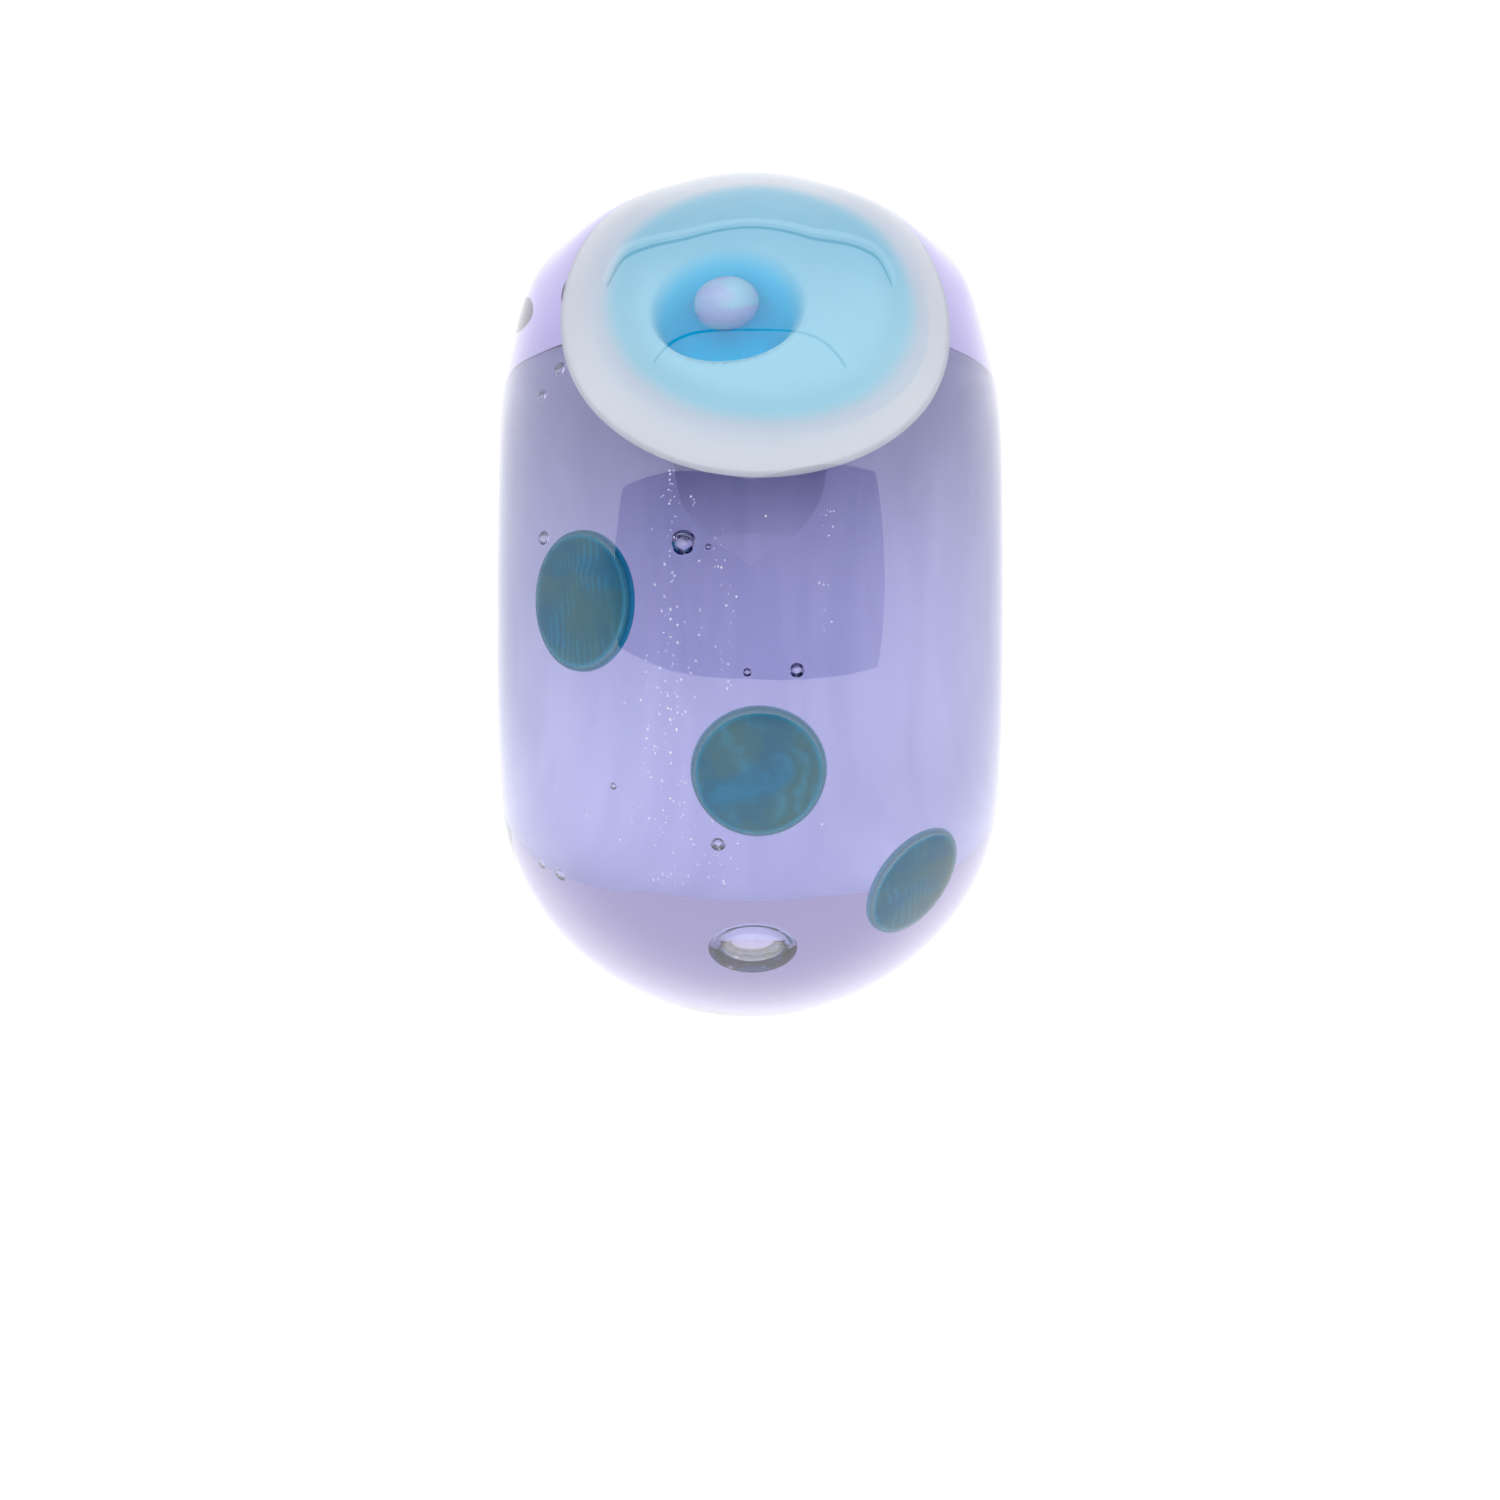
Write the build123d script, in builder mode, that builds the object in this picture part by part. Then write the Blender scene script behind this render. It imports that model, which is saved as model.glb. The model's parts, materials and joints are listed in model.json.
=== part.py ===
"""Lampworked glass charm bead: a silver-lined bore along X under a full-round tread.

Each pattern is one bubble eye and a slanting row of three dots, melted into the tread, and the
same pattern comes again on the back. One clear bubble lies in front, between two of the dots.
Millimetres and degrees.
"""

import math
import os

from build123d import *

# Body
bead_diameter = 14.0  # over the crown of the tread
bead_width = 8.4  # along the bore, over both end faces
shoulder_drop = 4.0  # how far the tread falls from its crown to the end faces
end_land = 0.2  # least ring of casing left round the base wrap on an end face

# Bore
bore_diameter = 4.6  # clear way through the sleeve
sleeve_wall = 0.25
sleeve_mouth_round = 0.08
base_end_wall = 0.25  # base wrap over the sleeve, at the end faces
base_crown_wall = 0.8  # base wrap over the sleeve, at the middle of the bead

# Eye
eye_angle = 50.0  # of the eye's axis, up from -Y about the bore
eye_half_width = 3.2  # of the white disc, along the bore
eye_half_length = 3.8  # of the white disc, round the tread
eye_proud = 0.2  # how far the eye stands out of the tread
eye_depth = 1.0  # of the white disc's floor under the tread
white_ring_width = 0.7  # of the white left showing round the aqua
aqua_depth = 0.6  # of the aqua's floor under the tread
dome_depth = 0.25  # of the clear dome's floor under the tread
pupil_offset = -0.35  # of the pupil from the middle of the bead, along the bore
pupil_mouth_radius = 1.2
pupil_floor_radius = 0.75
pupil_depth = 1.6  # of the pupil's floor under the crown
pupil_bubble_diameter = 1.0
pupil_bubble_depth = 0.95  # of the bubble's middle under the crown

# Dots: name, place along the bore, angle up from -Y
dots = (("left", -2.85, -0.8), ("middle", 0.15, -24.7), ("right", 2.8, -52.8))
dot_diameter = 2.3
dot_depth = 0.7
dot_floor_round = 0.3

# Clear bubble in the casing
bubble_offset = 0.1  # from the middle of the bead, along the bore
bubble_angle = -57.0  # up from -Y
bubble_diameter = 1.5
bubble_thickness = 0.8
bubble_rim_round = 0.2
bubble_cover = 0.35  # glass between the bubble and the tread

# The pattern and its repeat: name, turn of the eye about the bore, turn of the dots
patterns = (("front", 0.0, 0.0), ("back", 76.0, 259.0))

# Where the seam of every turned form lies, clear of both patterns
seam_angle = -80.0

# Sizes that follow
crown_radius = bead_diameter / 2
half_width = bead_width / 2
sleeve_radius = bore_diameter / 2 + sleeve_wall
base_end_radius = sleeve_radius + base_end_wall
base_crown_radius = sleeve_radius + base_crown_wall
end_radius = max(crown_radius - shoulder_drop, base_end_radius + end_land)
shoulder = crown_radius - end_radius
aqua_half_width = eye_half_width - white_ring_width
aqua_half_length = eye_half_length - white_ring_width
pocket_top = eye_proud + eye_depth  # well clear of everything in the eye
barrel_points = ((half_width, base_end_radius), (0, base_crown_radius), (-half_width, base_end_radius))
bubble_height = crown_radius - bubble_cover - bubble_thickness / 2  # of its middle, from the bore's axis
lens_radius = ((bubble_diameter / 2) ** 2 + (bubble_thickness / 2) ** 2) / bubble_thickness


def direction(angle):
    """The way out of the bore at an angle up from -Y."""
    turn = math.radians(angle)
    return Vector(0, -math.cos(turn), math.sin(turn))


def tread_radius(along):
    """Radius of the tread at a place along the bore."""
    return end_radius + shoulder * math.sqrt(1 - (along / half_width) ** 2)


def tread_plane(angle, along):
    """A plane on the tread, with its Z square to the surface there."""
    rise = (tread_radius(along) - end_radius) / shoulder**2
    lean = math.atan2(along / half_width**2, rise)
    out = direction(angle) * math.cos(lean) + Vector(1, 0, 0) * math.sin(lean)
    foot = direction(angle) * tread_radius(along) + Vector(along, 0, 0)
    side = Vector(1, 0, 0).cross(direction(angle))
    return Plane(origin=foot, x_dir=out.cross(side), z_dir=out)


def axial_plane(angle, along=0.0):
    """A plane through the bore's axis, with its Z pointing out of the bore at the angle."""
    return Plane(origin=(along, 0, 0), x_dir=(1, 0, 0), z_dir=direction(angle))


def section_plane():
    """A plane that holds the bore's axis as its X, with its Y towards the seam."""
    return Plane(origin=(0, 0, 0), x_dir=(1, 0, 0), z_dir=Vector(1, 0, 0).cross(direction(seam_angle)))


def tread_form(rise):
    """A solid blank of the tread's shape with its crown raised by rise, and with no bore."""
    with BuildPart() as blank:
        with BuildSketch(section_plane()):
            with BuildLine():
                crown = EllipticalCenterArc((0, end_radius), half_width, shoulder + rise, arc_size=180)
                Polyline(crown @ 1, (-half_width, 0), (half_width, 0), crown @ 0)
            make_face()
        revolve(axis=Axis.X)
    return blank.part


def tread_layer(low, high):
    """The ring between two such shapes, which meet at the end faces."""
    with BuildPart() as ring:
        with BuildSketch(section_plane()):
            with BuildLine():
                EllipticalCenterArc((0, end_radius), half_width, shoulder + low, arc_size=180)
                EllipticalCenterArc((0, end_radius), half_width, shoulder + high, arc_size=180)
            make_face()
        revolve(axis=Axis.X)
    return ring.part


def eye_disc(half_wide, half_long, low, high):
    """An elliptical disc cut out of such a ring, square to the eye's axis."""
    with BuildPart() as disc:
        with BuildSketch(axial_plane(eye_angle)):
            Ellipse(half_wide, half_long)
        extrude(amount=bead_diameter)
        add(tread_layer(low, high), mode=Mode.INTERSECT)
    return disc.part


def finish(piece, name):
    """Name a finished piece and write it to its own file."""
    piece.label = name
    export_step(piece, f"parts/{name}.step")


os.makedirs("parts", exist_ok=True)

# Silver tube that lines the bore, flush with both end faces
with BuildPart() as core_sleeve:
    with BuildSketch(Plane.YZ.offset(-half_width)):
        Circle(sleeve_radius)
        Circle(bore_diameter / 2, mode=Mode.SUBTRACT)
    extrude(amount=bead_width)
    rims = core_sleeve.edges().filter_by(GeomType.CIRCLE)
    fillet(rims.group_by(SortBy.RADIUS)[0], sleeve_mouth_round)
finish(core_sleeve.part, "core_sleeve")

# First wrap of glass on the sleeve, a low barrel
with BuildPart() as base_wrap:
    with BuildSketch(section_plane()):
        with BuildLine():
            barrel = ThreePointArc(*barrel_points)
            Polyline(barrel @ 1, (-half_width, sleeve_radius), (half_width, sleeve_radius), barrel @ 0)
        make_face()
    revolve(axis=Axis.X)
finish(base_wrap.part, "base_wrap")

# Lens of air trapped in the casing: two spheres' common part with its rim rounded
with BuildPart() as bubble:
    with Locations((0, 0, bubble_thickness / 2 - lens_radius)):
        Sphere(lens_radius)
    with Locations((0, 0, lens_radius - bubble_thickness / 2)):
        Sphere(lens_radius, mode=Mode.INTERSECT)
    fillet(bubble.edges().filter_by(GeomType.CIRCLE), bubble_rim_round)

# One eye: its pieces, and the pockets that the casing has for them
pupil_plane = axial_plane(eye_angle, pupil_offset).offset(crown_radius)

# Tapered plug drawn down in the middle of the eye
with BuildPart() as pupil_plug:
    with BuildSketch(pupil_plane.offset(-pupil_depth)):
        Circle(pupil_floor_radius)
    with BuildSketch(pupil_plane):
        Circle(pupil_mouth_radius)
    loft()
    add(tread_form(-dome_depth), mode=Mode.INTERSECT)

# The plug as it is, with its round bubble
with BuildPart() as eye_pupil:
    add(pupil_plug)
    with Locations(pupil_plane.offset(-pupil_bubble_depth)):
        Sphere(pupil_bubble_diameter / 2, mode=Mode.SUBTRACT)

# Opaque white disc, a shallow cup that holds the aqua
with BuildPart() as eye_white:
    add(eye_disc(eye_half_width, eye_half_length, -eye_depth, eye_proud))
    add(eye_disc(aqua_half_width, aqua_half_length, -aqua_depth, pocket_top), mode=Mode.SUBTRACT)
    add(pupil_plug, mode=Mode.SUBTRACT)

# Aqua pool on the white
with BuildPart() as eye_aqua:
    add(eye_disc(aqua_half_width, aqua_half_length, -aqua_depth, -dome_depth))
    add(pupil_plug, mode=Mode.SUBTRACT)

# Clear gather that closes the eye
with BuildPart() as eye_dome:
    add(eye_disc(aqua_half_width, aqua_half_length, -dome_depth, eye_proud))

# The casing's pocket for the whole eye, open at the top
with BuildPart() as eye_pocket:
    add(eye_disc(eye_half_width, eye_half_length, -eye_depth, pocket_top))

eye_pieces = {
    "eye_white": eye_white,
    "eye_aqua": eye_aqua,
    "eye_pupil": eye_pupil,
    "eye_dome": eye_dome,
}
eye_pockets = (eye_pocket, pupil_plug)

# One row of dots, flush with the tread
dot_pieces = {}
dot_pockets = []
for place, along, angle in dots:
    dot_plane = tread_plane(angle, along)
    way_out = Axis(dot_plane.origin, dot_plane.z_dir)
    with BuildPart() as dot_pocket:
        with BuildSketch(dot_plane.offset(-dot_depth)):
            Circle(dot_diameter / 2)
        extrude(amount=2 * dot_depth)
        fillet(dot_pocket.edges().filter_by(GeomType.CIRCLE).sort_by(way_out)[0], dot_floor_round)
    with BuildPart() as dot:
        add(dot_pocket)
        add(tread_form(0), mode=Mode.INTERSECT)
    dot_pieces[f"dot_{place}"] = dot
    dot_pockets.append(dot_pocket)

# Every piece, laid round the bore once for each pattern
for pattern, eye_turn, dot_turn in patterns:
    for pieces, turn in ((eye_pieces, eye_turn), (dot_pieces, dot_turn)):
        for name, piece in pieces.items():
            with BuildPart() as laid:
                add(piece, rotation=(-turn, 0, 0))
            finish(laid.part, f"{pattern}_{name}")

# Transparent body over the base wrap, with a pocket for each inlay and a space for the clear bubble
with BuildPart() as lilac_casing:
    with BuildSketch(section_plane()):
        with BuildLine():
            crown = EllipticalCenterArc((0, end_radius), half_width, shoulder, arc_size=180)
            barrel = ThreePointArc(*barrel_points)
            Line(crown @ 1, barrel @ 1)
            Line(barrel @ 0, crown @ 0)
        make_face()
    revolve(axis=Axis.X)
    for _, eye_turn, dot_turn in patterns:
        for pockets, turn in ((eye_pockets, eye_turn), (dot_pockets, dot_turn)):
            for pocket in pockets:
                add(pocket, rotation=(-turn, 0, 0), mode=Mode.SUBTRACT)
    with Locations(axial_plane(bubble_angle, bubble_offset).offset(bubble_height)):
        add(bubble, mode=Mode.SUBTRACT)
finish(lilac_casing.part, "lilac_casing")
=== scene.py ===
"""Visual model of a lampworked glass charm bead on a plain pale floor.

The bead is a clear lilac body over a milky core on a silver-lined bore. A bubble eye and a
slanting row of three teal dots are melted into its tread, once in front and once behind.
The bore runs along X, the tread faces outwards, and lengths are metres.
"""

import json
import logging
import math
import random
from dataclasses import dataclass
from enum import Enum

import bmesh
import bpy
from mathutils import Matrix, Vector, noise


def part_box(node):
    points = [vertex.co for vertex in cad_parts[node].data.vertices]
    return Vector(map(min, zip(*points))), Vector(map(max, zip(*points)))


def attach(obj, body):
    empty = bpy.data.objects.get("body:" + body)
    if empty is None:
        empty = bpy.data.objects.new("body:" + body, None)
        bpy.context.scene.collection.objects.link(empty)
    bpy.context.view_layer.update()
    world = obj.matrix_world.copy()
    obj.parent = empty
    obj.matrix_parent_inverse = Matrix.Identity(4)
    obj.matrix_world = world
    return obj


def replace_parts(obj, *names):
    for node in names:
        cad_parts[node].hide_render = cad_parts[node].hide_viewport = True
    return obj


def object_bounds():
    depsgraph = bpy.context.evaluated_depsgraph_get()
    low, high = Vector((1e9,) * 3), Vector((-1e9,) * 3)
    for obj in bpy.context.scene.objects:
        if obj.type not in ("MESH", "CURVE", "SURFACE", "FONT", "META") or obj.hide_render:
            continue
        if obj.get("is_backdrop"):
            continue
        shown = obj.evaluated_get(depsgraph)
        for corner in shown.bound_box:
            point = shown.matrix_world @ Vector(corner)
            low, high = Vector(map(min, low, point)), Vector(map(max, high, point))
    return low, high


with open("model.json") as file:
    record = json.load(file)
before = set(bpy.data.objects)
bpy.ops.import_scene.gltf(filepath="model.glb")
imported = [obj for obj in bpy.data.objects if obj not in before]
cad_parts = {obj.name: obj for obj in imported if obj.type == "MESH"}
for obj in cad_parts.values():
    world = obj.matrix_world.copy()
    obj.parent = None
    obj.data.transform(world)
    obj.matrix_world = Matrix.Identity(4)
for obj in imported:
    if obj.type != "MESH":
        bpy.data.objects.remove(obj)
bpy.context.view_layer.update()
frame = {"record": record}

MM = 0.001
BODY = "root"
DEPTH = "depth_mm"
SPREAD = "spread"
LEAN = "lean"
DOWN = "down"
ALL_BUT_GLOSSY = ("camera", "shadow", "transmission", "diffuse")
HALVINGS = 40
SLIDES = 8
ROUNDING = 1e-6
TINY = 1e-12
Pair = tuple[float, float]
Triple = tuple[float, float, float]
log = logging.getLogger("bead")


def direction(angle: float) -> Vector:
    """The way out of the bore at an angle up from -Y.

    Args:
        angle: Degrees about the bore.

    Returns:
        A unit vector.
    """
    turn = math.radians(angle)
    return Vector((0.0, -math.cos(turn), math.sin(turn)))


def smooth_step(low: float, high: float, value: float) -> float:
    """Rises smoothly from 0 at low to 1 at high.

    Args:
        low: Where the rise starts.
        high: Where it ends.
        value: Where it is read.

    Returns:
        A share from 0 to 1.
    """
    share = min(max((value - low) / (high - low), 0.0), 1.0)
    return share * share * (3.0 - 2.0 * share)


class Pattern(Enum):
    """The two places where the pattern is laid round the bore."""

    FRONT = "front"
    BACK = "back"


class DotPlace(Enum):
    """The dots of one row, from one end of the bore to the other."""

    LEFT = "left"
    MIDDLE = "middle"
    RIGHT = "right"


class Value:
    """A shader socket that Python arithmetic works on."""

    def __init__(self, nodes: "Nodes", socket: bpy.types.NodeSocket) -> None:
        """Wraps a socket.

        Args:
            nodes: The material's nodes.
            socket: An output.
        """
        self.nodes = nodes
        self.socket = socket

    def _math(self, operation: str, *values: "Value | float") -> "Value":
        """A Math node on some values."""
        return self.nodes.add("ShaderNodeMath", {"operation": operation}, dict(enumerate(values)))

    def __add__(self, other: "Value | float") -> "Value":
        """The sum."""
        return self._math("ADD", self, other)

    __radd__ = __add__

    def __sub__(self, other: "Value | float") -> "Value":
        """The difference."""
        return self._math("SUBTRACT", self, other)

    def __rsub__(self, other: "Value | float") -> "Value":
        """The difference the other way round."""
        return self._math("SUBTRACT", other, self)

    def __mul__(self, other: "Value | float") -> "Value":
        """The product."""
        return self._math("MULTIPLY", self, other)

    __rmul__ = __mul__

    def step(self, low: float, high: float) -> "Value":
        """Rises smoothly from 0 at low to 1 at high.

        Args:
            low: Where the share is 0.
            high: Where the share is 1, which may be the smaller of the two.

        Returns:
            The share.
        """
        return self.nodes.add(
            "ShaderNodeMapRange",
            {"interpolation_type": "SMOOTHSTEP"},
            {"Value": self, "From Min": low, "From Max": high},
        )


class Nodes:
    """The nodes of one material."""

    def __init__(self, name: str) -> None:
        """Starts a material with a Principled shader on its output.

        Args:
            name: The material's name.
        """
        self.material = bpy.data.materials.new(name)
        self.material.use_nodes = True
        self.tree = self.material.node_tree
        self.tree.nodes.clear()
        self.output = self.tree.nodes.new("ShaderNodeOutputMaterial")
        self.shader = self.tree.nodes.new("ShaderNodeBsdfPrincipled")
        self.tree.links.new(self.shader.outputs[0], self.output.inputs["Surface"])

    def add(
        self, kind: str, settings: dict | None = None, inputs: dict | None = None, output: int = 0
    ) -> Value:
        """Adds a node.

        Args:
            kind: The node's type.
            settings: Its properties, which are set first.
            inputs: Values or links of its sockets, by name or number.
            output: Which output is wanted.

        Returns:
            The output, ready for arithmetic.
        """
        node = self.tree.nodes.new(kind)
        for name, setting in (settings or {}).items():
            setattr(node, name, setting)
        for name, value in (inputs or {}).items():
            self.set(node.inputs[name], value)
        return Value(self, node.outputs[output])

    def set(self, socket: bpy.types.NodeSocket, value: object) -> None:
        """Links a socket, or sets its own value.

        Args:
            socket: An input.
            value: A link, a number, a vector, or a colour with or without its alpha.
        """
        if isinstance(value, Value):
            self.tree.links.new(value.socket, socket)
        elif isinstance(value, tuple) and len(value) == 3 and len(socket.default_value) == 4:
            socket.default_value = (*value, 1.0)
        else:
            socket.default_value = value

    def finish(self, **inputs: object) -> bpy.types.Material:
        """Sets the shader's sockets.

        Args:
            **inputs: Values or links, with underscores in place of spaces.

        Returns:
            The material.
        """
        for name, value in inputs.items():
            self.set(self.shader.inputs[name.replace("_", " ")], value)
        return self.material

    def place(self) -> Value:
        """Object coordinates."""
        return self.add("ShaderNodeTexCoord", output=3)

    def attribute(self, name: str) -> Value:
        """A number stored on the piece's points."""
        return self.add("ShaderNodeAttribute", {"attribute_name": name}, output=2)

    def mapped(self, scale: Triple) -> Value:
        """Object coordinates in millimetres, stretched."""
        per_metre = tuple(share / MM for share in scale)
        return self.add("ShaderNodeMapping", None, {"Vector": self.place(), "Scale": per_metre})

    def noise(self, scale: Triple, detail: float, distortion: float = 0.0) -> Value:
        """Adds noise that follows the piece.

        Args:
            scale: How many lumps a millimetre holds along each axis.
            detail: How many finer layers it has.
            distortion: How far it is stirred.

        Returns:
            The noise, from 0 to 1.
        """
        inputs = {"Scale": 1.0, "Detail": detail, "Distortion": distortion}
        return self.add("ShaderNodeTexNoise", None, {"Vector": self.mapped(scale)} | inputs)

    def mix(self, share: Value, first: object, second: object) -> Value:
        """A blend of two colours."""
        inputs = {0: share, 6: first, 7: second}
        return self.add("ShaderNodeMix", {"data_type": "RGBA"}, inputs, output=2)

    def bump(self, height: Value, strength: float, distance: float) -> Value:
        """A normal for a height given in lumps of so many millimetres."""
        inputs = {"Height": height, "Strength": strength, "Distance": distance * MM}
        return self.add("ShaderNodeBump", None, inputs)


@dataclass(frozen=True)
class LilacGlass:
    """Clear lilac glass, flame polished, that takes more red and green than blue."""

    ior: float = 1.5
    absorbed_per_mm: Triple = (0.134, 0.145, 0.083)
    ripples_per_mm: Triple = (0.5, 0.35, 0.35)
    ripple: float = 0.02

    def material(self) -> bpy.types.Material:
        """Makes the material.

        Returns:
            Glass with its tint in its volume.
        """
        nodes = Nodes("lilac_glass")
        most = max(self.absorbed_per_mm)
        tint = tuple(1.0 - taken / most for taken in self.absorbed_per_mm)
        volume = nodes.tree.nodes.new("ShaderNodeVolumeAbsorption")
        volume.inputs["Color"].default_value = (*tint, 1.0)
        volume.inputs["Density"].default_value = most / MM
        nodes.tree.links.new(volume.outputs[0], nodes.output.inputs["Volume"])
        ripples = nodes.noise(self.ripples_per_mm, 1.0)
        return nodes.finish(
            Base_Color=(1.0, 1.0, 1.0),
            Roughness=0.0,
            IOR=self.ior,
            Transmission_Weight=1.0,
            Normal=nodes.bump(ripples, 1.0, self.ripple),
        )


@dataclass(frozen=True)
class MilkyGlass:
    """Milky lavender glass, streaked the way it was wound."""

    pale: Triple = (0.62, 0.67, 0.83)
    deep: Triple = (0.57, 0.62, 0.79)
    streaks_per_mm: Triple = (3.0, 0.4, 0.4)
    streak_edges: Pair = (0.35, 0.65)

    def material(self) -> bpy.types.Material:
        """Makes the material.

        Returns:
            An opaque glass with faint winding streaks.
        """
        nodes = Nodes("milky_lavender_glass")
        streaks = nodes.noise(self.streaks_per_mm, 3.0, 0.3).step(*self.streak_edges)
        return nodes.finish(
            Base_Color=nodes.mix(streaks, self.deep, self.pale),
            Roughness=0.5,
            Specular_IOR_Level=0.0,
        )


@dataclass(frozen=True)
class WhiteGlass:
    """Opaque white glass, bluer where the aqua bleeds into it."""

    body: Triple = (0.51, 0.545, 0.60)
    bled: Triple = (0.44, 0.50, 0.585)
    bled_edges: Pair = (0.84, 1.0)
    cloudy: float = 0.06

    def material(self) -> bpy.types.Material:
        """Makes the material.

        Returns:
            A cloudy white that follows the disc's spread.
        """
        nodes = Nodes("white_glass")
        clouds = nodes.noise((1.0, 1.0, 1.0), 3.0) * self.cloudy
        outer = (nodes.attribute(SPREAD) + clouds).step(*self.bled_edges)
        colour = nodes.mix(outer, self.bled, self.body)
        return nodes.finish(Base_Color=colour, Roughness=0.4, Specular_IOR_Level=0.0)


@dataclass(frozen=True)
class AquaGlass:
    """Aqua glass over white: paler low down and darker high up, which is painted shade, and white
    where it runs out at the rim.
    """

    rim: Triple = (0.44, 0.50, 0.585)
    # painted shade: the pool is paler low down and darker high up, where its upper wall catches
    # less light
    low: Triple = (0.30, 0.59, 0.69)
    high: Triple = (0.15, 0.46, 0.60)
    rim_edges: Pair = (0.84, 0.99)
    rim_cloudy: float = 0.04
    painted_shade_edges: Pair = (-0.5, 1.0)
    painted_shade_cloudy: float = 0.3

    def pool(self, nodes: Nodes) -> Value:
        """The pool's colour, from low down to high up, darker high up as painted shade.

        Args:
            nodes: The material's nodes.

        Returns:
            A colour.
        """
        clouds = nodes.noise((0.7, 0.7, 0.7), 2.0) * self.painted_shade_cloudy
        lean = nodes.attribute(LEAN) + clouds - self.painted_shade_cloudy / 2
        # painted shade: the higher up the pool, the darker
        return nodes.mix(lean.step(*self.painted_shade_edges), self.low, self.high)

    def material(self) -> bpy.types.Material:
        """Makes the material.

        Returns:
            A colour that follows the pool's lean and spread.
        """
        nodes = Nodes("aqua_glass")
        clouds = nodes.noise((0.9, 0.9, 0.9), 2.0) * self.rim_cloudy
        out = (nodes.attribute(SPREAD) + clouds).step(*self.rim_edges)
        colour = nodes.mix(out, self.pool(nodes), self.rim)
        return nodes.finish(Base_Color=colour, Roughness=0.4, Specular_IOR_Level=0.0)


@dataclass(frozen=True)
class DeepAquaGlass:
    """The funnel of deep aqua in the middle of the eye, bluest at its bottom, where painted light
    brightens it in place of light coming through the translucent aqua.
    """

    wall: Triple = (0.02, 0.58, 0.82)
    # deep aqua made brighter with painted light, in place of light coming through the translucent
    # aqua into the funnel's shaded bottom
    painted_lit_throat: Triple = (0.0, 0.68, 0.95)
    wall_edges: Pair = (0.0, 0.45)
    painted_lit_throat_edges: Pair = (0.35, 1.0)

    def material(self) -> bpy.types.Material:
        """Makes the material.

        Returns:
            A colour that follows the funnel down, brightest at its bottom as painted light.
        """
        nodes = Nodes("deep_aqua_glass")
        down = nodes.attribute(DOWN)
        upper = nodes.mix(down.step(*self.wall_edges), AquaGlass().pool(nodes), self.wall)
        # painted light: the funnel brightens towards its bottom
        lower = nodes.mix(down.step(*self.painted_lit_throat_edges), upper, self.painted_lit_throat)
        return nodes.finish(Base_Color=lower, Roughness=0.4, Specular_IOR_Level=0.0)


@dataclass(frozen=True)
class BubbleReflectionPaint:
    """Paint for the air bubble: pale aqua as painted reflection, with lavender patches as painted
    refraction of the glass behind it.
    """

    # painted reflection and refraction: the pale aqua stands for the aqua the bubble reflects, the
    # lavender for the glass seen through it
    pale: Triple = (0.28, 0.54, 0.68)
    painted_refraction: Triple = (0.32, 0.40, 0.64)
    painted_refraction_edges: Pair = (0.4, 0.6)

    def material(self) -> bpy.types.Material:
        """Makes the material.

        Returns:
            A smooth, glossy skin whose colours are painted reflection and refraction.
        """
        nodes = Nodes("bubble_painted_reflection")
        clouds = nodes.noise((1.1, 1.1, 2.2), 2.0, 0.4).step(*self.painted_refraction_edges)
        return nodes.finish(
            # painted reflection: pale aqua blotched with lavender
            Base_Color=nodes.mix(clouds, self.pale, self.painted_refraction),
            Roughness=0.25,
            Specular_IOR_Level=0.5,
        )


@dataclass(frozen=True)
class TealGlass:
    """Turquoise glass with a grey-green bloom on its face, combed in fine wavy lines."""

    wall: Triple = (0.01, 0.23, 0.45)
    bloom: Triple = (0.003, 0.047, 0.092)
    dusky: Triple = (0.016, 0.055, 0.072)
    line_pitch: float = 0.08
    waves_per_unit: float = 20.0
    waviness: float = 12.0
    wave_detail: float = 2.0
    wave_size: float = 0.3
    line_height: float = 0.002
    line_share: float = 0.1
    worn_edges: Pair = (0.4, 0.65)
    dusky_edges: Pair = (0.38, 0.66)
    rim_edges: Pair = (0.9, 1.06)
    rim_share: float = 0.5
    wall_depths: Pair = (0.04, 0.12)

    def material(self) -> bpy.types.Material:
        """Makes the material.

        Returns:
            Bloom on the face that thins out to bright turquoise at the edge.
        """
        nodes = Nodes("teal_glass")
        lines = nodes.add(
            "ShaderNodeTexWave",
            {"wave_type": "RINGS", "rings_direction": "X"},
            {
                "Vector": nodes.mapped((1.0, 1.0, 1.0)),
                "Scale": math.tau / (self.waves_per_unit * self.line_pitch),
                "Distortion": self.waviness,
                "Detail": self.wave_detail,
                "Detail Scale": self.wave_size,
            },
            output=1,
        )
        patches = nodes.noise((0.8, 0.8, 0.8), 4.0, 0.6)
        worn = nodes.noise((1.7, 1.7, 1.7), 3.0).step(*self.worn_edges)
        face = nodes.mix(patches.step(*self.dusky_edges), self.bloom, self.dusky)
        combed = nodes.mix(lines * worn * self.line_share, face, self.wall)
        spread = nodes.attribute(SPREAD)
        rim = (spread + patches * 0.06).step(*self.rim_edges)
        face = nodes.mix(rim * self.rim_share, combed, self.wall)
        wall = nodes.attribute(DEPTH).step(*self.wall_depths)
        return nodes.finish(
            Base_Color=nodes.mix(wall, face, self.wall),
            Roughness=0.3,
            Specular_IOR_Level=0.25,
            Normal=nodes.bump(lines * worn, 0.15, self.line_height),
        )


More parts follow.
